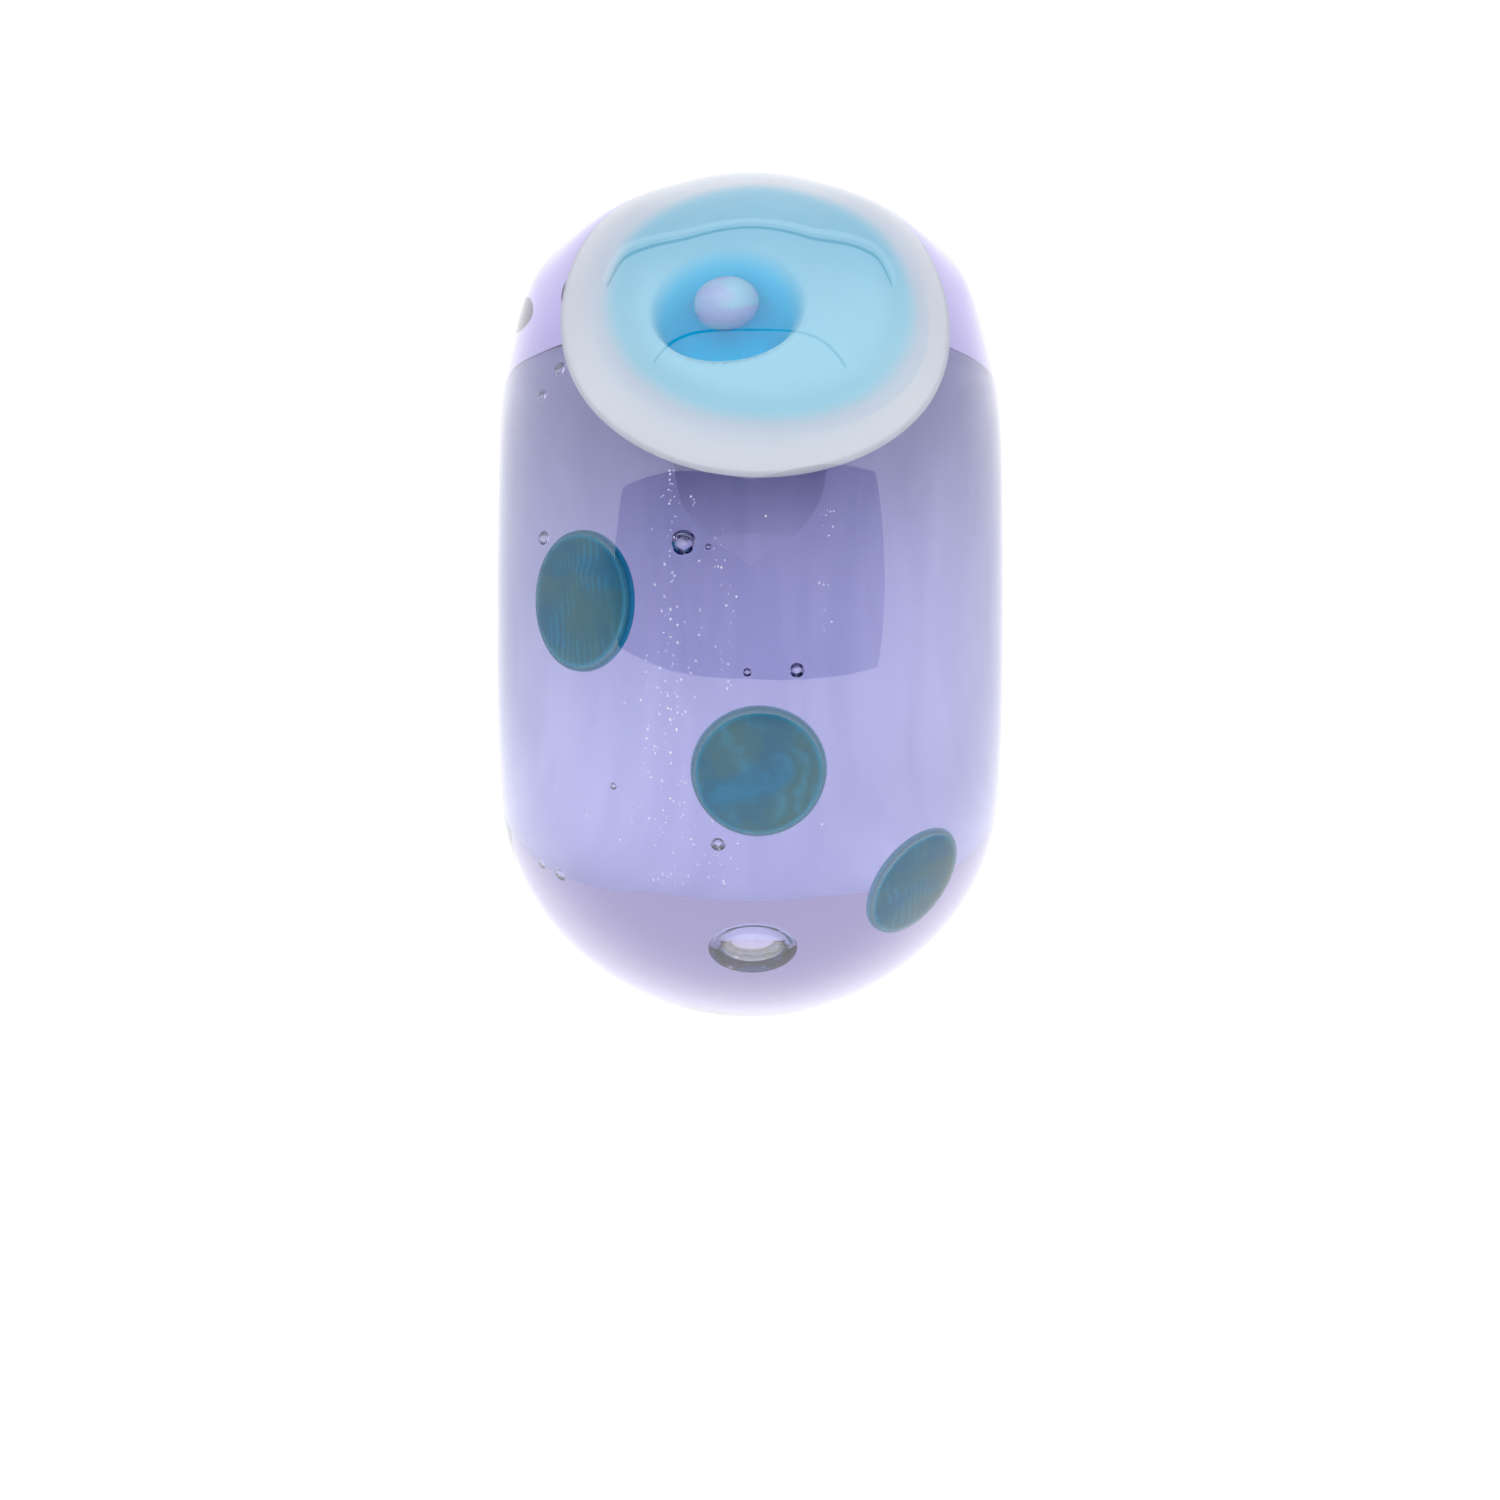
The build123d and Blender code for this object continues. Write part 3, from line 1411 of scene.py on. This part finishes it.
@dataclass
class Studio:
    """The floor, the light tent and the camera."""

    floor_half: float = 1.5
    light: float = 2.2
    far_light: float = 1.4
    floor_light: float = 3.05
    fade_down: Pair = (0.0, -0.6)
    fade_back: Pair = (0.0, 0.6)
    seam_height: float = 400.0 * MM
    seam_half_length: float = 400.0 * MM
    seam_width: float = 11.0 * MM
    seams: Pair = (67.0, 115.8)
    fold: Pair = (118.5, 121.5)
    camera_distance: float = 300.0 * MM
    frame_width: float = 25.0 * MM
    camera_drop: float = 2.52 * MM
    sensor: float = 36.0
    clip: Pair = (0.01, 10.0)
    card_distance: float = 400.0 * MM
    card_corners: tuple[Pair, ...] = (
        (-0.70, -0.15),
        (0.0, -0.163),
        (0.69, -0.225),
        (0.84, 0.50),
        (0.0, 0.246),
        (-0.78, 0.40),
    )
    card_round: float = 25.0 * MM

    def floor(self, height: float, finish: bpy.types.Material) -> None:
        """Lays the floor.

        Args:
            height: Its height.
            finish: Its material.
        """
        shape = bmesh.new()
        bmesh.ops.create_grid(shape, x_segments=1, y_segments=1, size=self.floor_half)
        bmesh.ops.translate(shape, verts=shape.verts, vec=(0.0, 0.0, height))
        floor = to_object("floor", shape, finish)
        hide_from(floor, "glossy", "transmission", "diffuse")
        floor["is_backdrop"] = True

    def card(self, finish: bpy.types.Material) -> None:
        """Hangs the dark opening of the tent behind the camera, seen only in reflections.

        Args:
            finish: Its material.
        """
        shape = bmesh.new()
        corners = [shape.verts.new((x, -self.card_distance, z)) for x, z in self.card_corners]
        shape.faces.new(corners)
        bmesh.ops.bevel(
            shape,
            geom=corners,
            offset=self.card_round,
            affect="VERTICES",
            segments=8,
            profile=0.5,
            material=-1,
        )
        card = to_object("tent_opening", shape, finish)
        hide_from(card, *ALL_BUT_GLOSSY)
        card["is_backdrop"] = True

    def strip(self, name: str, low: float, high: float, finish: bpy.types.Material) -> None:
        """Runs a strip along the tent's ceiling, seen only in reflections.

        Args:
            name: Its name.
            low: Angle up from -Y where it starts.
            high: Angle where it ends.
            finish: Its material.
        """
        shape = bmesh.new()
        bmesh.ops.create_grid(shape, x_segments=1, y_segments=1, size=1.0)
        ends = [-self.seam_height / math.tan(math.radians(angle)) for angle in (low, high)]
        for corner in shape.verts:
            corner.co.y = ends[0] if corner.co.y < 0.0 else ends[1]
            corner.co.x *= self.seam_half_length
            corner.co.z = self.seam_height
        strip = to_object(name, shape, finish)
        hide_from(strip, *ALL_BUT_GLOSSY)
        strip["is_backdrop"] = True

    def _ramp(
        self,
        tree: bpy.types.NodeTree,
        socket: bpy.types.NodeSocket,
        reach: Pair,
        levels: Pair,
    ) -> bpy.types.NodeSocket:
        """Adds a smooth change of light over one part of a direction.

        Args:
            tree: The world's nodes.
            socket: The part that is read.
            reach: Where the change starts and ends.
            levels: The light at its start and its end.

        Returns:
            The light.
        """
        ramp = tree.nodes.new("ShaderNodeMapRange")
        ramp.interpolation_type = "SMOOTHSTEP"
        for name, value in zip(("From Min", "From Max", "To Min", "To Max"), (*reach, *levels)):
            ramp.inputs[name].default_value = value
        tree.links.new(socket, ramp.inputs["Value"])
        return ramp.outputs[0]

    def world(self) -> None:
        """Fills the tent with even white light, and keeps white as white."""
        world = bpy.data.worlds.new("tent")
        world.use_nodes = True
        tree = world.node_tree
        light = tree.nodes["Background"]
        light.inputs["Color"].default_value = (1.0, 1.0, 1.0, 1.0)
        way = tree.nodes.new("ShaderNodeTexCoord")
        parts = tree.nodes.new("ShaderNodeSeparateXYZ")
        tree.links.new(way.outputs["Generated"], parts.inputs[0])
        levels = (self.light, self.floor_light)
        lift = self._ramp(tree, parts.outputs["Z"], self.fade_down, levels)
        dimmed = (1.0, self.far_light / self.light)
        fade = self._ramp(tree, parts.outputs["Y"], self.fade_back, dimmed)
        both = tree.nodes.new("ShaderNodeMath")
        both.operation = "MULTIPLY"
        tree.links.new(lift, both.inputs[0])
        tree.links.new(fade, both.inputs[1])
        tree.links.new(both.outputs[0], light.inputs["Strength"])
        scene = bpy.context.scene
        scene.world = world
        scene.view_settings.view_transform = "Standard"

    def camera(self) -> None:
        """Sets the camera level in front of the bead."""
        lens = bpy.data.cameras.new("camera")
        lens.sensor_width = self.sensor
        lens.lens = self.sensor * self.camera_distance / self.frame_width
        lens.clip_start, lens.clip_end = self.clip
        camera = bpy.data.objects.new("camera", lens)
        bpy.context.collection.objects.link(camera)
        camera.location = (0.0, -self.camera_distance, -self.camera_drop)
        camera.rotation_euler = (math.pi / 2, 0.0, 0.0)
        bpy.context.scene.camera = camera

    def build(self, height: float) -> None:
        """Lays the floor, puts the tent round it and sets the light and the camera.

        Args:
            height: The floor's height.
        """
        self.floor(height, PaleFloor().material())
        dark = DarkOpening().material()
        self.card(dark)
        half_seam = math.degrees(self.seam_width / self.seam_height) / 2
        for number, angle in enumerate(self.seams):
            self.strip(f"tent_seam_{number}", angle - half_seam, angle + half_seam, dark)
        self.strip("tent_fold", *self.fold, BrightFold().material())
        self.world()
        self.camera()


def free(
    name: str, shape: bmesh.types.BMesh, finish: bpy.types.Material
) -> bpy.types.Object:
    """Puts a piece on the bead and reports it.

    Args:
        name: The piece's name.
        shape: Its mesh.
        finish: Its material.

    Returns:
        The piece.
    """
    piece = to_object(name, shape, finish)
    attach(piece, BODY)
    log.info("%s: %d faces", name, len(piece.data.polygons))
    return piece


def install(
    name: str, shape: bmesh.types.BMesh, finish: bpy.types.Material, slot: str, *nodes: str
) -> None:
    """Puts a piece on the bead in place of its CAD solids.

    Args:
        name: The piece's name.
        shape: Its mesh.
        finish: Its material.
        slot: The record's material slot; not used.
        *nodes: The CAD solids it stands for.
    """
    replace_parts(free(name, shape, finish), *nodes)


def main() -> None:
    """Builds the bead, the floor, the light and the camera, and reports each piece."""
    logging.basicConfig(level=logging.INFO, format="%(name)s: %(message)s")
    casing_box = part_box("lilac_casing")
    tread = Tread(-casing_box[0].y, casing_box[1].x)
    core_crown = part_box("base_wrap")[1].z
    bore_radius = frame["record"]["mounts"][0]["dims"]["r_mm"] * MM
    bore = Bore(bore_radius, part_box("core_sleeve")[1].z, core_crown, tread.half_width)
    eyes = [Eye(tread, pattern) for pattern in Pattern]
    install("silver_sleeve", bore.sleeve(), Silver().material(), "silver", "core_sleeve")
    install("milky_core", bore.core(), MilkyGlass().material(), "milky_lavender_glass", "base_wrap")
    white, aqua, deep = WhiteGlass().material(), AquaGlass().material(), DeepAquaGlass().material()
    teal, bubble_paint = TealGlass().material(), BubbleReflectionPaint().material()
    rows = [Dots(tread, pattern) for pattern in Pattern]
    middles = [row.place(DotPlace.MIDDLE)[1] for row in rows]
    turns = [middle - middles[0] for middle in middles]
    for eye, dots in zip(eyes, rows):
        side = eye.pattern.value
        log.info("%s eye at %.2f degrees", side, eye.angle)
        install(f"{side}_white_disc", eye.white_disc(), white, "white_glass", f"{side}_eye_white")
        install(f"{side}_aqua_pool", eye.aqua_pool(), aqua, "aqua_glass", f"{side}_eye_aqua")
        install(f"{side}_deep_funnel", eye.funnel(), deep, "deep_aqua_glass", f"{side}_eye_pupil")
        # the air bubble is an opaque ball whose colour is painted reflection
        free(f"{side}_painted_reflection_bubble", eye.bubble(), bubble_paint)
        for place in DotPlace:
            node = f"{side}_dot_{place.value}"
            install(f"{side}_teal_{place.value}", dots.dot(place), teal, "teal_glass", node)
    free("seed_trails", Seeds(tread, turns).build(), SeedGlass().material())
    casing = Casing(tread, core_crown, turns).build(eyes)
    lilac = LilacGlass().material()
    domes = [f"{pattern.value}_eye_dome" for pattern in Pattern]
    install("lilac_body", casing, lilac, "lilac_glass", "lilac_casing", *domes)
    Studio().build(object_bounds()[0].z)


if __name__ == "__main__":
    main()
